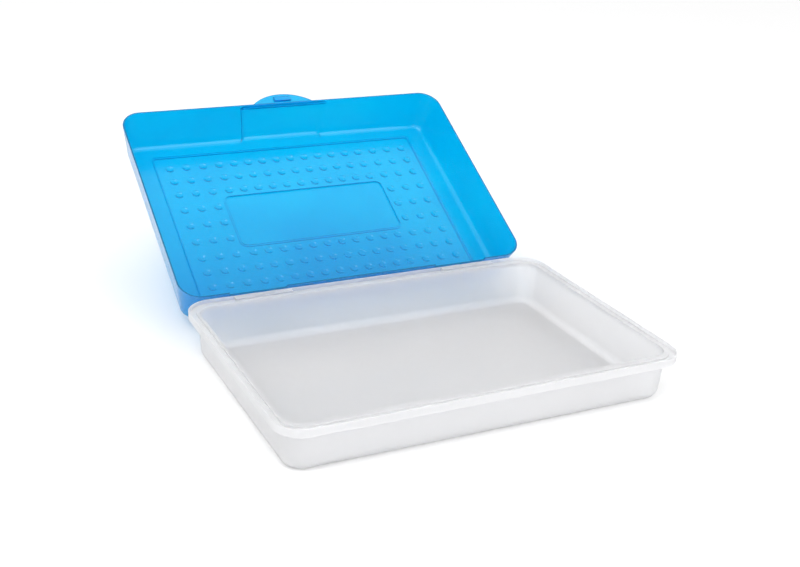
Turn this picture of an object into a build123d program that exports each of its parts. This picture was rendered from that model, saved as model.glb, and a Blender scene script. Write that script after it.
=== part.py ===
from build123d import *
import math
import os

# Utility box for pencils: a frosted tray and a lid that snaps onto it at the back.
# Millimetres. +Z up, +X right, +Y to the hinge. The origin is the centre of the tray's underside.
# Both mouldings are built with the lid closed, then the lid is turned open about its hinge.

# Driving sizes: tray
tray_width = 330.0            # over the rim, left to right
tray_depth = 230.0            # over the rim, front to back
tray_height = 40.0            # underside to the top of the rim's outer lip
rim_corner_radius = 22.0
tray_wall = 2.0
tray_floor = 2.2
tray_draft = 3.5              # degrees, each wall
side_rim_width = 8.4          # rim's outer edge to the wall's inner face at the top, left and right
end_rim_width = 11.2          # the same, front and back
tray_bottom_radius = 8.0      # rounding between the walls and the underside
lip_thickness = 1.2
lip_height = 3.0              # lip above the channel floor
channel_width = 5.0           # between the lip and the bead
bead_drop = 1.5               # bead's top below the lip's top
rim_plate = 1.6               # thickness of the channel floor
band_height = 7.0             # outer face of the rim, lip included
band_thickness = 1.6
rim_rounding = 0.5

# Driving sizes: lid
lid_wall = 1.3
lid_depth = 40.0              # rim edge to the outer face of the panel
lid_draft = 11.6              # degrees, skirt
lid_side_gap = 1.8            # lip to skirt, left, right and front
lid_back_gap = 2.8            # lip to skirt, back
lid_seat_gap = 0.3            # lid's rim edge above the channel floor
lid_top_radius = 6.4          # outer rounding between skirt and panel
field_side_border = 20.3      # panel's outer edge to the sunk field, left and right
field_end_border = 14.8       # the same, front and back
field_sink = 1.2
field_corner_radius = 3.0
label_width = 159.0           # plain plateau in the middle of the field, seen from inside
label_depth = 61.0
label_corner_radius = 6.0
dome_radius = 4.0             # outer foot radius of one dome
dome_height = 1.2
dome_side_margin = 13.5       # field's edge to the nearest column of domes
dome_end_margin = 15.9        # field's edge to the nearest row of domes
dome_label_gap = 8.5          # label's edge to the domes around it
dome_label_overlap = 7.5      # label's side edge to the last column in front of or behind it
column_pitch_beside = 16.0    # pitches are rounded to fit, so that each row ends on its margins
column_pitch_along = 14.4
row_pitch_beyond = 16.8
row_pitch_beside = 19.5
gate_radius = 3.5
gate_sink = 0.4
gate_nub_radius = 1.0

# Driving sizes: front bow and thumb tab
bow_reach = 2.2               # bow's face in front of the skirt's
bow_half_width = 42.0         # bow's face at the tab's level, each side
bow_top_half_width = 37.0     # the same at the panel
bow_shoulder = 3.0            # width of each slanted shoulder
tab_half_width = 33.4         # tab's arc where it meets the skirt, each side
tab_reach = 14.8              # tab's tip in front of the lid's rim edge
tab_lip_clearance = 0.3       # tab above the tray's lip
tab_root_radius = 6.0         # rounding in plan between the tab and the bow
catch_width = 17.0
catch_depth = 5.5
catch_height = 2.2            # catch rib below the tab
catch_clearance = 1.2         # catch rib to the rim's outer face
catch_rounding = 0.5

# Driving sizes: hinges
open_angle = 151.3            # degrees from closed to the stop
hinge_offset = 96.0           # each hinge from the middle
pin_rim_gap = 0.4             # pin to the rim's outer face
hinge_below_lip = 3.5         # pin axis below the lip's top
pin_radius = 1.7
pin_clearance = 0.05
clip_wall = 1.4
clip_mouth_angle = 100.0      # degrees of the clip that are open, less than half a turn
clip_mouth_direction = 60.0   # degrees up from straight back
knuckle_length = 8.0
knuckle_gap = 1.5             # finger to clip, along the pin
finger_thickness = 2.4
leaf_thickness = 1.6
leaf_clearance = 0.8          # leaf above the lip when closed
stop_gap = 0.1                # finger to stop when open
bridge_overhang = 2.0         # bridge plate longer than the leaf, each end
bridge_drop = 0.2             # bridge plate below the top of the lip
lid_notch_clearance = 0.4

# Derived sizes: tray
channel_floor_z = tray_height - lip_height
bead_z = tray_height - bead_drop
bead_inset = lip_thickness + channel_width
band_bottom_z = tray_height - band_height
rim_back_y = tray_depth / 2
rim_front_y = -tray_depth / 2

# Derived sizes: lid, in its closed place
lid_rim_z = channel_floor_z + lid_seat_gap
lid_side_inset = lip_thickness + lid_side_gap
lid_back_inset = lip_thickness + lid_back_gap
lid_width = tray_width - 2 * lid_side_inset
lid_length = tray_depth - lid_side_inset - lid_back_inset
lid_centre_y = (lid_side_inset - lid_back_inset) / 2
lid_corner_radius = rim_corner_radius - lid_side_inset
lid_front_y = rim_front_y + lid_side_inset
lid_back_y = rim_back_y - lid_back_inset
lid_taper = math.tan(math.radians(lid_draft))
lid_top_z = lid_rim_z + lid_depth
field_width = lid_width - 2 * (lid_depth * lid_taper + field_side_border)
field_depth = lid_length - 2 * (lid_depth * lid_taper + field_end_border)

# Derived sizes: bow and tab
tab_low_z = tray_height + tab_lip_clearance
tab_high_z = tab_low_z + lid_wall
tab_tip_y = lid_front_y - tab_reach
tab_arc_radius = (tab_half_width ** 2 + tab_reach ** 2) / (2 * tab_reach)
catch_back_y = rim_front_y - catch_clearance

# Derived sizes: hinges
pin_y = rim_back_y + pin_rim_gap + pin_radius
pin_z = tray_height - hinge_below_lip
leaf_bottom_z = tray_height + leaf_clearance
clip_inner_radius = pin_radius + pin_clearance
clip_outer_radius = clip_inner_radius + clip_wall
knuckle_pitch = knuckle_length + knuckle_gap
finger_offsets = [-2 * knuckle_pitch, 0.0, 2 * knuckle_pitch]
clip_offsets = [-knuckle_pitch, knuckle_pitch]
hinge_length = 5 * knuckle_length + 4 * knuckle_gap
hinge_centres = [-hinge_offset, hinge_offset]
bridge_half_length = hinge_length / 2 + bridge_overhang

merge = 0.5                   # how far joined solids run into each other
above = 20.0                  # cutters run this far past what they cut


def centred_box(x_centre, x_length, y_low, y_high, z_low, z_high):
    """A box given by its X centre and length and its Y and Z limits."""
    box = Box(x_length, y_high - y_low, z_high - z_low)
    return Pos(x_centre, (y_low + y_high) / 2, (z_low + z_high) / 2) * box


def rounded_prism(width, depth, radius, z_low, z_high, y_centre=0.0):
    """An upright prism on a rounded rectangle."""
    outline = RectangleRounded(width, depth, radius)
    return Pos(0, y_centre, z_low) * extrude(outline, amount=z_high - z_low)


def drafted_block(low_size, low_radius, high_size, high_radius, z_low, z_high, y_centre=0.0):
    """A block between two rounded rectangles, so that its four sides are drafted."""
    low = Pos(0, y_centre, z_low) * RectangleRounded(low_size[0], low_size[1], low_radius)
    high = Pos(0, y_centre, z_high) * RectangleRounded(high_size[0], high_size[1], high_radius)
    return loft([low, high], ruled=True)


def edges_at(part, z):
    """Every edge that lies in the level plane z."""
    return part.edges().filter_by_position(Axis.Z, z - 0.001, z + 0.001)


def side_profile(points, x_centre, x_length):
    """A plate cut to points in the YZ plane, with its thickness along X."""
    outline = Plane.YZ * make_face(Polyline(*points, close=True))
    return Pos(x_centre - x_length / 2, 0, 0) * extrude(outline, amount=x_length, dir=(1, 0, 0))


def rod(x_centre, x_length, radius):
    """A round rod along X on the hinge axis."""
    return Pos(x_centre, pin_y, pin_z) * Rot(0, 90, 0) * Cylinder(radius, x_length)


# Tray

def tray_block(inset, z_low, bottom_radius):
    """The tray's outer form, or its inside when inset by the wall, up to the top of the lip."""
    slope = math.tan(math.radians(tray_draft))
    side = side_rim_width - tray_wall + inset
    end = end_rim_width - tray_wall + inset
    growth = (tray_height - z_low) * slope
    high = (tray_width - 2 * side, tray_depth - 2 * end)
    low = (high[0] - 2 * growth, high[1] - 2 * growth)
    radius = rim_corner_radius - side
    block = drafted_block(low, radius, high, radius, z_low, tray_height)
    return fillet(edges_at(block, z_low), bottom_radius)


def inset_prism(inset, z_low, z_high):
    """A prism that follows the rim's outline from inside."""
    return rounded_prism(tray_width - 2 * inset, tray_depth - 2 * inset,
                         rim_corner_radius - inset, z_low, z_high)


def rim():
    """Rim band, channel floor, bead and lip, as a ring that the walls grow into."""
    ring = inset_prism(0, band_bottom_z, tray_height)
    ring = fillet(edges_at(ring, band_bottom_z), rim_rounding)
    hollow_top_z = channel_floor_z - rim_plate
    ring -= inset_prism(band_thickness, band_bottom_z - above, hollow_top_z)
    channel = inset_prism(lip_thickness, channel_floor_z, tray_height + above)
    channel -= inset_prism(bead_inset, channel_floor_z, bead_z)
    ring -= channel
    tops = edges_at(ring, tray_height) + edges_at(ring, bead_z)
    return fillet(tops, rim_rounding)


def bridge(x_centre):
    """A plate that fills the channel under one hinge leaf."""
    plate = centred_box(x_centre, 2 * bridge_half_length, rim_back_y - bead_inset - merge,
                        rim_back_y - lip_thickness / 2, channel_floor_z - merge,
                        tray_height - bridge_drop)
    return plate


def clip(x_centre):
    """A C-shaped clip behind the rim that holds the lid's hinge pin."""
    foot = centred_box(x_centre, knuckle_length, rim_back_y - merge, pin_y,
                       band_bottom_z + rim_rounding, pin_z)
    body = foot + rod(x_centre, knuckle_length, clip_outer_radius)
    half_mouth = math.radians(clip_mouth_angle / 2)
    middle = math.radians(clip_mouth_direction)
    reach = 2 * clip_outer_radius
    mouth = [(pin_y, pin_z)]
    for turn in (middle - half_mouth, middle + half_mouth):
        mouth.append((pin_y + reach * math.cos(turn), pin_z + reach * math.sin(turn)))
    body -= side_profile(mouth, x_centre, knuckle_length + merge)
    return body - rod(x_centre, knuckle_length + merge, clip_inner_radius)


def stop(x_centre):
    """A wedge on the rim that one finger of the lid's hinge lands on when the lid is open."""
    turn = math.radians(180.0 - open_angle)
    reach = finger_thickness / 2 + stop_gap
    top_z = pin_z - pin_radius - 2 * pin_clearance - lip_thickness / 3
    face_y = []
    for z in (band_bottom_z, top_z):
        face_y.append(pin_y - (reach + (z - pin_z) * math.sin(turn)) / math.cos(turn))
    outline = [(rim_back_y - merge, band_bottom_z), (face_y[0], band_bottom_z),
               (face_y[1], top_z), (rim_back_y - merge, top_z)]
    return side_profile(outline, x_centre, knuckle_length)


def gate_mark(z_face, direction):
    """The cutter for a moulding gate: a shallow round well with its nub left standing."""
    well = Cylinder(gate_radius, 2 * gate_sink) - Cylinder(gate_nub_radius, 2 * gate_sink)
    return Pos(0, 0, z_face) * Rot(0, 0 if direction > 0 else 180, 0) * well


def make_tray():
    walls = tray_block(0, 0, tray_bottom_radius)
    walls &= inset_prism(bead_inset / 2, 0, channel_floor_z)
    body = walls + rim()
    body -= tray_block(tray_wall, tray_floor, tray_bottom_radius - tray_wall)
    for x_centre in hinge_centres:
        body += bridge(x_centre)
        body += [clip(x_centre + offset) for offset in clip_offsets]
        body += [stop(x_centre + offset) for offset in finger_offsets]
    body -= gate_mark(0, -1)
    return body


# Lid, closed

def skirt_size(inset, height):
    """The lid's plan at a height above its rim edge, inset from the outer face."""
    shrink = 2 * (inset + height * lid_taper)
    return (lid_width - shrink, lid_length - shrink)


def lid_block(inset, height, top_radius):
    """The lid's outer form, or its inside when inset by the wall, up to a panel height."""
    radius = lid_corner_radius - inset
    top = radius - height * lid_taper
    block = drafted_block(skirt_size(inset, 0), radius, skirt_size(inset, height), top,
                          lid_rim_z, lid_rim_z + height, lid_centre_y)
    return fillet(edges_at(block, lid_rim_z + height), top_radius)


def skirt_face_y(inset, z):
    """Where the front skirt's face stands at the level z, inset from the outer face."""
    return lid_front_y + inset + (z - lid_rim_z) * lid_taper


def bow_block(inset):
    """The bow: the lid's own form moved forward, kept above the tab and between its shoulders."""
    moved = Pos(0, -bow_reach, 0) * lid_block(inset, lid_depth - inset, lid_top_radius - inset)
    faces = []
    for z, face_half in ((tab_low_z + inset, bow_half_width), (lid_top_z, bow_top_half_width)):
        root_y = skirt_face_y(inset, z)
        half = face_half - inset / 2
        wide = half + 1.5 * bow_shoulder
        narrow = half - 0.5 * bow_shoulder
        right = [(narrow, root_y - 1.5 * bow_reach), (wide, root_y + 0.5 * bow_reach),
                 (wide, root_y + above)]
        left = [(-x, y) for x, y in reversed(right)]
        faces.append(Pos(0, 0, z) * make_face(Polyline(*left, *right, close=True)))
    return moved & loft(faces, ruled=True)


def spread_evenly(low, high, pitch):
    """Evenly spaced values from low to high, as near to the pitch as fits."""
    gaps = max(1, round((high - low) / pitch))
    return [low + (high - low) * step / gaps for step in range(gaps + 1)]


def dome_centres():
    """Centres of the domes, in straight rows and columns all round the label."""
    last_x = field_width / 2 - dome_side_margin
    last_y = field_depth / 2 - dome_end_margin
    beside_x = spread_evenly(label_width / 2 + dome_label_gap, last_x, column_pitch_beside)
    beyond_y = spread_evenly(label_depth / 2 + dome_label_gap, last_y, row_pitch_beyond)
    along_x = label_width / 2 - dome_label_overlap
    columns_along = spread_evenly(-along_x, along_x, column_pitch_along)
    rows_beside = spread_evenly(-beyond_y[0], beyond_y[0], row_pitch_beside)[1:-1]
    columns_beside = [-x for x in beside_x] + beside_x
    rows_beyond = [-y for y in beyond_y] + beyond_y
    places = [(x, y) for y in rows_beyond for x in columns_beside + columns_along]
    places += [(x, y) for y in rows_beside for x in columns_beside]
    return [(x, lid_centre_y + y) for x, y in places]


def domes(shrink):
    """Ball caps over the sunk field: the outer domes, or their hollows when shrunk by the wall."""
    ball_radius = (dome_radius ** 2 + dome_height ** 2) / (2 * dome_height)
    ball_z = lid_top_z - ball_radius
    radius = ball_radius - shrink
    foot_z = lid_top_z - field_sink - shrink - merge
    cap = Pos(0, 0, ball_z) * Sphere(radius)
    cap &= Pos(0, 0, foot_z) * extrude(Circle(radius), amount=ball_radius)
    return [Pos(x, y, 0) * cap for x, y in dome_centres()]


def panel_step(spread, z_low, z_high):
    """The sunk field as a slab with the label plateau left out of it."""
    slab = rounded_prism(field_width - 2 * spread, field_depth - 2 * spread,
                         field_corner_radius, z_low, z_high, lid_centre_y)
    slab -= rounded_prism(label_width + 2 * spread, label_depth + 2 * spread,
                          label_corner_radius + spread, z_low, z_high, lid_centre_y)
    return slab


def lid_outer():
    block = lid_block(0, lid_depth, lid_top_radius) + bow_block(0)
    block -= panel_step(lid_wall, lid_top_z - field_sink, lid_top_z + above)
    return block + domes(0)


def lid_inner():
    inner_depth = lid_depth - lid_wall
    inner_top_z = lid_top_z - lid_wall
    block = lid_block(lid_wall, inner_depth, lid_top_radius - lid_wall)
    block += bow_block(lid_wall)
    block -= panel_step(0, inner_top_z - field_sink, inner_top_z + above)
    return block + domes(lid_wall)


def thumb_tab():
    """A flat plate over the tray's lip, rounded in plan, with the catch rib under it."""
    root_y = skirt_face_y(0, tab_high_z) - bow_reach
    disc = Pos(0, tab_tip_y + tab_arc_radius) * Circle(tab_arc_radius)
    front = Pos(0, tab_tip_y - merge) * Rectangle(
        2 * bow_half_width, root_y - tab_tip_y + merge, align=(Align.CENTER, Align.MIN))
    strip = Pos(0, root_y) * Rectangle(
        2 * (bow_half_width - bow_shoulder), lid_front_y - root_y, align=(Align.CENTER, Align.MIN))
    outline = (disc & front) + strip
    on_root = outline.vertices().filter_by_position(Axis.Y, root_y - 0.001, root_y + 0.001)
    outline = fillet(on_root.sort_by(Axis.X)[1:3], tab_root_radius)
    plate = Pos(0, 0, tab_low_z) * extrude(outline, amount=lid_wall)
    rib_z = tab_low_z - catch_height
    rib = centred_box(0, catch_width, catch_back_y - catch_depth, catch_back_y,
                      rib_z, tab_low_z + merge)
    return plate + fillet(edges_at(rib, rib_z), catch_rounding)


def hinge_leaf(x_centre):
    """One leaf: a plate over the rim, and three fingers down to the pin behind it."""
    leaf_back_y = pin_y + finger_thickness / 2
    root_y = lid_back_y - leaf_thickness
    leaf = centred_box(x_centre, hinge_length, root_y, leaf_back_y,
                       leaf_bottom_z, leaf_bottom_z + leaf_thickness)
    back_top = leaf.edges().filter_by(Axis.X).sort_by(Axis.Y)[-2:].sort_by(Axis.Z)[-1]
    leaf = fillet(back_top, leaf_thickness / 2)
    pin = rod(x_centre, hinge_length, pin_radius)
    leaf += pin
    for offset in finger_offsets:
        leaf += centred_box(x_centre + offset, knuckle_length, pin_y - finger_thickness / 2,
                            leaf_back_y, pin_z, leaf_bottom_z + merge)
    return leaf


def hinge_notch(x_centre):
    """The cut in the back skirt that clears the bridge plate."""
    length = 2 * (bridge_half_length + lid_notch_clearance)
    return centred_box(x_centre, length, lid_back_y - above / 2, lid_back_y + merge,
                       lid_rim_z - merge, tray_height + lid_notch_clearance)


def make_closed_lid():
    shell = lid_outer() - lid_inner()
    for x_centre in hinge_centres:
        shell -= hinge_notch(x_centre)
        shell += hinge_leaf(x_centre)
    shell += thumb_tab()
    shell -= Pos(0, lid_centre_y, 0) * gate_mark(lid_top_z, 1)
    return shell


def opened(part, angle):
    """The lid turned back about the hinge pins."""
    to_pin = Pos(0, pin_y, pin_z)
    return to_pin * Rot(-angle, 0, 0) * to_pin.inverse() * part


os.makedirs("parts", exist_ok=True)
export_step(make_tray(), "parts/tray.step")
export_step(opened(make_closed_lid(), open_angle), "parts/lid.step")
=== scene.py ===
import math

import bpy
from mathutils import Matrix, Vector

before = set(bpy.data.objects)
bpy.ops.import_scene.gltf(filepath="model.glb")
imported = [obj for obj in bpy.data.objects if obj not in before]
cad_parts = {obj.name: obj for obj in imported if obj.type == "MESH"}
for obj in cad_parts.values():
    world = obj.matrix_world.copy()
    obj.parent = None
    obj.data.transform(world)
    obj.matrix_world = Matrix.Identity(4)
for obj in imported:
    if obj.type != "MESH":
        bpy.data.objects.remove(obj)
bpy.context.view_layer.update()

# Camera: where it stands in the row frame (metres), how it is turned (degrees) and its lens (mm)
CAMERA_PLACE = (-0.4087, -0.7576, 0.4274)
CAMERA_TURN = (67.861, -2.369, -25.669)
CAMERA_LENS = 54.1
CAMERA_SHIFT = (0.0033, -0.0009)


def new_material(name):
    """An empty node material, its Principled node and its output."""
    material = bpy.data.materials.new(name)
    material.use_nodes = True
    tree = material.node_tree
    tree.nodes.clear()
    shader = tree.nodes.new("ShaderNodeBsdfPrincipled")
    output = tree.nodes.new("ShaderNodeOutputMaterial")
    tree.links.new(shader.outputs["BSDF"], output.inputs["Surface"])
    return material, tree, shader, output


def noise(tree, scale, detail):
    """A noise texture in object space, in cycles per metre."""
    place = tree.nodes.new("ShaderNodeTexCoord")
    texture = tree.nodes.new("ShaderNodeTexNoise")
    texture.inputs["Scale"].default_value = scale
    texture.inputs["Detail"].default_value = detail
    tree.links.new(place.outputs["Object"], texture.inputs["Vector"])
    return texture.outputs["Fac"]


def span(tree, source, low, high, new_low, new_high):
    """source taken from low..high to new_low..new_high, and held there."""
    node = tree.nodes.new("ShaderNodeMapRange")
    node.inputs["From Min"].default_value = low
    node.inputs["From Max"].default_value = high
    node.inputs["To Min"].default_value = new_low
    node.inputs["To Max"].default_value = new_high
    tree.links.new(source, node.inputs["Value"])
    return node.outputs["Result"]


def colour_mix(tree, factor, first, second):
    """A blend of two colours by a factor socket."""
    node = tree.nodes.new("ShaderNodeMix")
    node.data_type = "RGBA"
    node.inputs[6].default_value = (*first, 1.0)
    node.inputs[7].default_value = (*second, 1.0)
    tree.links.new(factor, node.inputs[0])
    return node.outputs[2]


def bump(tree, height, strength, distance):
    """A normal that follows a height socket; the distance is in metres."""
    node = tree.nodes.new("ShaderNodeBump")
    node.inputs["Strength"].default_value = strength
    node.inputs["Distance"].default_value = distance
    tree.links.new(height, node.inputs["Height"])
    return node.outputs["Normal"]


def absorb(tree, output, colour, density):
    """Plain colour inside the plastic, so that long paths through it look deeper."""
    volume = tree.nodes.new("ShaderNodeVolumeAbsorption")
    volume.inputs["Color"].default_value = (*colour, 1.0)
    volume.inputs["Density"].default_value = density
    tree.links.new(volume.outputs["Volume"], output.inputs["Volume"])


def blue_plastic():
    """Clear-dyed blue: a faint cloud in the tint, a smooth skin and very gentle waves."""
    material, tree, shader, output = new_material("blue_polypropylene")
    cloud = noise(tree, 14.0, 3.0)
    tint = colour_mix(tree, span(tree, cloud, 0.35, 0.65, 0.0, 1.0),
                      (0.0, 0.58, 0.93), (0.0, 0.64, 0.96))
    tree.links.new(tint, shader.inputs["Base Color"])
    haze = noise(tree, 60.0, 2.0)
    tree.links.new(span(tree, haze, 0.3, 0.7, 0.16, 0.22), shader.inputs["Roughness"])
    shader.inputs["IOR"].default_value = 1.45
    shader.inputs["Specular IOR Level"].default_value = 0.3
    shader.inputs["Transmission Weight"].default_value = 0.78
    waves = bump(tree, noise(tree, 30.0, 1.0), 0.08, 0.001)
    tree.links.new(waves, shader.inputs["Normal"])
    absorb(tree, output, (0.0, 0.60, 0.93), 380.0)
    return material


def frosted_plastic():
    """Undyed and milky: a faint cloud in the tint, a satin skin and very gentle waves."""
    material, tree, shader, output = new_material("frosted_polypropylene")
    cloud = noise(tree, 11.0, 3.0)
    tint = colour_mix(tree, span(tree, cloud, 0.35, 0.65, 0.0, 1.0),
                      (0.95, 0.95, 0.96), (0.97, 0.97, 0.98))
    tree.links.new(tint, shader.inputs["Base Color"])
    haze = noise(tree, 90.0, 2.0)
    tree.links.new(span(tree, haze, 0.3, 0.7, 0.38, 0.46), shader.inputs["Roughness"])
    shader.inputs["IOR"].default_value = 1.45
    shader.inputs["Transmission Weight"].default_value = 0.7
    waves = bump(tree, noise(tree, 24.0, 1.0), 0.06, 0.001)
    tree.links.new(waves, shader.inputs["Normal"])
    absorb(tree, output, (0.80, 0.81, 0.84), 3.0)
    return material


def dress(node, material):
    """Every material slot of a CAD node takes this material."""
    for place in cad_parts[node].material_slots:
        place.material = material


def add_floor():
    """A wide pale floor just under the tray."""
    bpy.ops.mesh.primitive_plane_add(size=12.0, location=(0.0, 0.0, -0.0002))
    floor = bpy.context.object
    floor.name = "floor"
    material, tree, shader, output = new_material("pale_floor")
    shader.inputs["Base Color"].default_value = (0.93, 0.93, 0.93, 1.0)
    shader.inputs["Roughness"].default_value = 0.9
    floor.data.materials.append(material)


def add_light(name, place, target, size, power):
    """A square area lamp that faces its target; size in metres, power in watts."""
    lamp = bpy.data.lights.new(name, "AREA")
    lamp.shape = "SQUARE"
    lamp.size = size
    lamp.energy = power
    holder = bpy.data.objects.new(name, lamp)
    bpy.context.scene.collection.objects.link(holder)
    holder.location = place
    holder.rotation_euler = (Vector(target) - Vector(place)).to_track_quat("-Z", "Y").to_euler()


def add_world(strength):
    """Even white light from all round."""
    world = bpy.data.worlds.new("studio")
    world.use_nodes = True
    background = world.node_tree.nodes["Background"]
    background.inputs["Color"].default_value = (1.0, 1.0, 1.0, 1.0)
    background.inputs["Strength"].default_value = strength
    bpy.context.scene.world = world


def add_camera():
    """The scene's camera, at the place and turn given at the top."""
    lens = bpy.data.cameras.new("camera")
    lens.lens = CAMERA_LENS
    lens.sensor_width = 36.0
    lens.shift_x, lens.shift_y = CAMERA_SHIFT
    holder = bpy.data.objects.new("camera", lens)
    bpy.context.scene.collection.objects.link(holder)
    holder.location = CAMERA_PLACE
    holder.rotation_euler = [math.radians(turn) for turn in CAMERA_TURN]
    bpy.context.scene.camera = holder


bpy.context.scene.view_settings.view_transform = "Standard"
add_camera()
add_world(1.0)
add_light("key", (-0.9, -0.6, 1.6), (0.0, 0.1, 0.05), 1.2, 14.0)
add_light("fill", (0.6, -1.5, 0.7), (0.0, 0.0, 0.03), 1.4, 9.0)
add_floor()
dress("lid", blue_plastic())
dress("tray", frosted_plastic())
